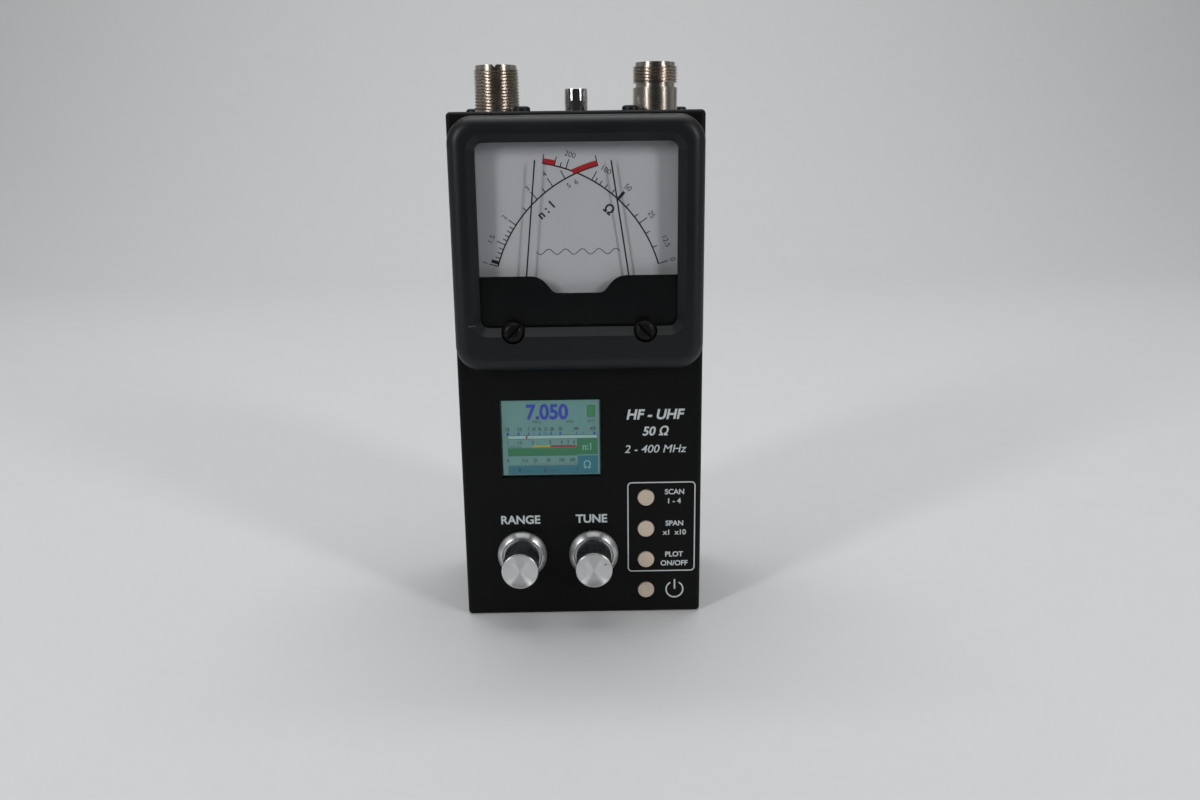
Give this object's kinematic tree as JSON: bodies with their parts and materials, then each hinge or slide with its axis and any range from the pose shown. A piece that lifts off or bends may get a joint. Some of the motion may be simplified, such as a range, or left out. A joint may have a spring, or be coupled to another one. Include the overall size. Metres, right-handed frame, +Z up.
{
  "type": "antenna analyzer",
  "caption": "Hand-held antenna analyzer: black upright case with a cross needle meter, small colour display, knobs, push buttons and coaxial sockets on its top.",
  "frame": {"origin": "centre of the case's bottom face", "axes": "+Z up, -Y out of the front panel, +X to the viewer's right"},
  "size_m": [0.086, 0.0748, 0.1968],
  "materials": {
    "case_paint": "matte black powder coat",
    "black_screw": "black oxide",
    "bezel_plastic": "satin moulded, slate black",
    "clear_pane": "clear",
    "mask_plastic": "gloss black",
    "dial_paint": "matte off-white",
    "needle_paint": "matte black",
    "adjuster_plastic": "gloss black",
    "display": "lit screen",
    "black_plastic": "moulded black",
    "knob_metal": "turned and anodised",
    "steel": "bright",
    "button_plastic": "cream, glossy",
    "nickel": "nickel plated",
    "bright_chrome": "mirror bright",
    "contact_metal": "plated",
    "white_insulator": "moulded, off-white",
    "dark_insulator": "moulded, dark brown",
    "movement_casting": "as cast",
    "yoke_iron": "machined",
    "fine_brass": "bright",
    "board_green": "solder mask",
    "tin_plate": "tinned",
    "cell_sleeve": "printed sleeve"
  },
  "bodies": {
    "case": {"band_switch": "black_plastic", "batteries": "cell_sleeve", "battery_holder": "black_plastic", "board_screws": "steel", "board_standoffs": "contact_metal", "connector_screws": "black_screw", "core_magnets": "steel", "cover_screws": "black_screw", "dc_jack": "black_plastic", "freq_control": "steel", "front_case": "case_paint", "lcd_holder": "black_plastic", "lcd_panel": "display", "lcd_window": "clear_pane", "main_board": "board_green", "meter_bezel": "bezel_plastic", "meter_case": "black_plastic", "meter_dial": "dial_paint", "meter_mask": "mask_plastic", "meter_nuts": "steel", "meter_terminals": "contact_metal", "meter_window": "clear_pane", "movement_frames": "movement_casting", "movement_yokes": "yoke_iron", "n_contact": "contact_metal", "n_insulator": "white_insulator", "n_shell": "nickel", "pivot_jewels": "fine_brass", "rca_contact": "contact_metal", "rca_insulator": "white_insulator", "rca_shell": "bright_chrome", "rear_cover": "case_paint", "rf_board": "board_green", "rf_shield": "tin_plate", "shaft_nuts": "steel", "tact_switches": "black_plastic", "uhf_contact": "contact_metal", "uhf_insulator": "dark_insulator", "uhf_shell": "nickel"},
    "ohms_movement": {"ohms_needle": "needle_paint", "ohms_coil": "fine_brass"},
    "swr_movement": {"swr_needle": "needle_paint", "swr_coil": "fine_brass"},
    "ohms_zero": {"ohms_zero_screw": "adjuster_plastic"},
    "swr_zero": {"swr_zero_screw": "adjuster_plastic"},
    "ohms_lever": {"ohms_zero_lever": "fine_brass", "ohms_hairspring": "fine_brass"},
    "swr_lever": {"swr_zero_lever": "fine_brass", "swr_hairspring": "fine_brass"},
    "band_control": {"band_knob": "knob_metal", "band_set_screw": "steel", "band_shaft": "steel"},
    "tuning_control": {"freq_knob": "knob_metal", "freq_set_screw": "steel", "freq_shaft": "steel"},
    "sweep_key": {"sweep_button": "button_plastic"},
    "width_key": {"width_button": "button_plastic"},
    "graph_key": {"graph_button": "button_plastic"},
    "power_key": {"power_button": "button_plastic"}
  },
  "joints": [
    {"name": "ohms_needle_swing", "type": "hinge", "parent": "case", "child": "ohms_movement", "pos_m": [-0.01865, -0.028, 0.1157], "axis": [0, 1, 0], "range_deg": [0, 70], "stiffness_Nm_per_rad": 0.00005},
    {"name": "swr_needle_swing", "type": "hinge", "parent": "case", "child": "swr_movement", "pos_m": [0.01865, -0.028, 0.1157], "axis": [0, -1, 0], "range_deg": [0, 66.5], "stiffness_Nm_per_rad": 0.00005},
    {"name": "ohms_zero_turn", "type": "hinge", "parent": "case", "child": "ohms_zero", "pos_m": [-0.0225, -0.028, 0.1076], "axis": [0, 1, 0], "range_deg": [-40, 40]},
    {"name": "swr_zero_turn", "type": "hinge", "parent": "case", "child": "swr_zero", "pos_m": [0.0225, -0.028, 0.1076], "axis": [0, 1, 0], "range_deg": [-40, 40]},
    {"name": "ohms_lever_swing", "type": "hinge", "parent": "case", "child": "ohms_lever", "pos_m": [-0.01865, -0.028, 0.1157], "axis": [0, 1, 0], "range_deg": [-5, 5]},
    {"name": "swr_lever_swing", "type": "hinge", "parent": "case", "child": "swr_lever", "pos_m": [0.01865, -0.028, 0.1157], "axis": [0, 1, 0], "range_deg": [-5, 5]},
    {"name": "band_turn", "type": "hinge", "parent": "case", "child": "band_control", "pos_m": [-0.0222, -0.028, 0.0241], "axis": [0, 1, 0], "range_deg": [-60, 210]},
    {"name": "tuning_turn", "type": "hinge", "parent": "case", "child": "tuning_control", "pos_m": [0.00385, -0.028, 0.0241], "axis": [0, 1, 0], "range_deg": [-210, 90]},
    {"name": "sweep_press", "type": "slide", "parent": "case", "child": "sweep_key", "axis": [0, 1, 0], "range_m": [0, 0.0006], "stiffness_N_per_m": 3000, "springref_m": -0.0001},
    {"name": "width_press", "type": "slide", "parent": "case", "child": "width_key", "axis": [0, 1, 0], "range_m": [0, 0.0006], "stiffness_N_per_m": 3000, "springref_m": -0.0001},
    {"name": "graph_press", "type": "slide", "parent": "case", "child": "graph_key", "axis": [0, 1, 0], "range_m": [0, 0.0006], "stiffness_N_per_m": 3000, "springref_m": -0.0001},
    {"name": "power_press", "type": "slide", "parent": "case", "child": "power_key", "axis": [0, 1, 0], "range_m": [0, 0.0006], "stiffness_N_per_m": 3000, "springref_m": -0.0001}
  ],
  "couplings": [
    {"joint": "ohms_lever_swing", "follows": "ohms_zero_turn", "ratio": -0.118},
    {"joint": "swr_lever_swing", "follows": "swr_zero_turn", "ratio": -0.118}
  ]
}
